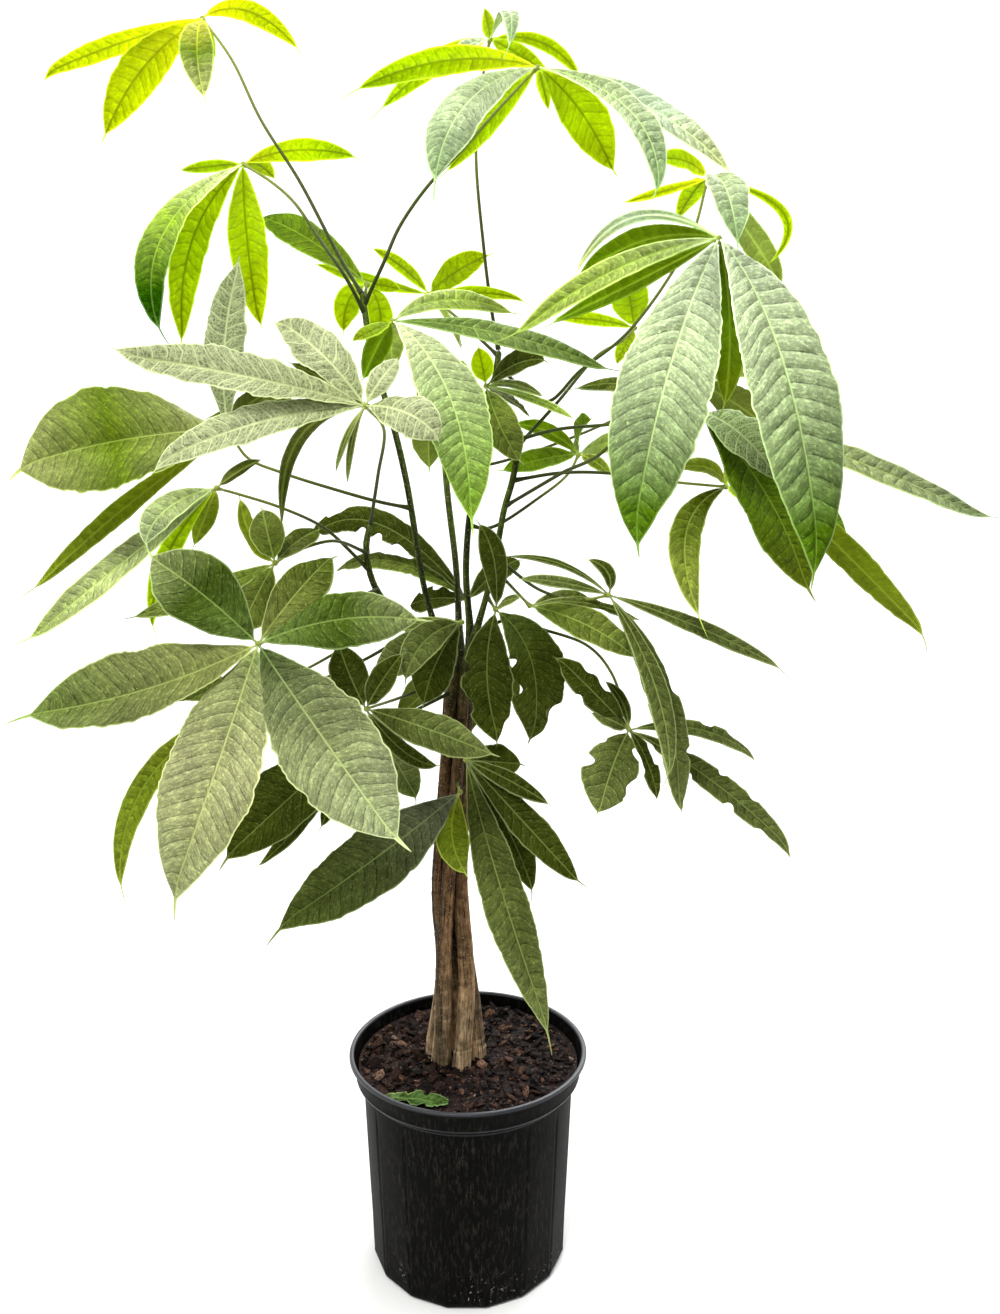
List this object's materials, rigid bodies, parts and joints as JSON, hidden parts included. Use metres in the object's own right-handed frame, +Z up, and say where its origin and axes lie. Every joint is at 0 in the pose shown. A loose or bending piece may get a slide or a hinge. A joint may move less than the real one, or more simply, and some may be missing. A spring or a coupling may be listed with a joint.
{
  "type": "potted money tree",
  "caption": "Leafy indoor tree with several slim stems loosely twisted into one trunk, palmate glossy leaves and a round black nursery pot.",
  "frame": {"origin": "middle of the pot's flat underside, on the floor", "axes": "+Z up, the front of the plant faces -Y, +X to the viewer's right"},
  "size_m": [0.9242, 0.7116, 1.3099],
  "materials": {
    "pot": "matte, dusty black",
    "soil": "rough bark mulch",
    "bark": "dry brown bark",
    "leaf": "glossy green leaf"
  },
  "bodies": {
    "root": {"pot": "pot", "soil": "soil", "stem_left": "bark", "stem_middle": "bark", "stem_right": "bark", "stem_side": "bark", "stem_rear": "bark", "leaf_scrap": "leaf", "leaf_top_left": "leaf", "leaf_upper_left": "leaf", "leaf_top_centre": "leaf", "leaf_top_back": "leaf", "leaf_right_top": "leaf", "leaf_big_right": "leaf", "leaf_right_mid": "leaf", "leaf_right_back": "leaf", "leaf_mid_right": "leaf", "leaf_small_right": "leaf", "leaf_centre_top": "leaf", "leaf_centre": "leaf", "leaf_big_left": "leaf", "leaf_left": "leaf", "leaf_front_left": "leaf", "leaf_behind_left": "leaf", "leaf_low_left": "leaf", "leaf_low_dark": "leaf", "leaf_low_centre": "leaf", "leaf_knot_left": "leaf", "leaf_curled": "leaf", "leaf_knot_right": "leaf", "leaf_right_low": "leaf", "leaf_right_low_small": "leaf", "leaf_right_lower": "leaf", "leaf_lower_front": "leaf", "leaf_lower_left": "leaf", "leaf_centre_right": "leaf", "leaf_rear_lime": "leaf", "leaf_fork": "leaf", "leaf_rear_high": "leaf", "leaf_rear_left": "leaf", "leaf_rear_right": "leaf", "leaf_rear_low": "leaf", "leaf_rear_low_left": "leaf"}
  },
  "joints": []
}
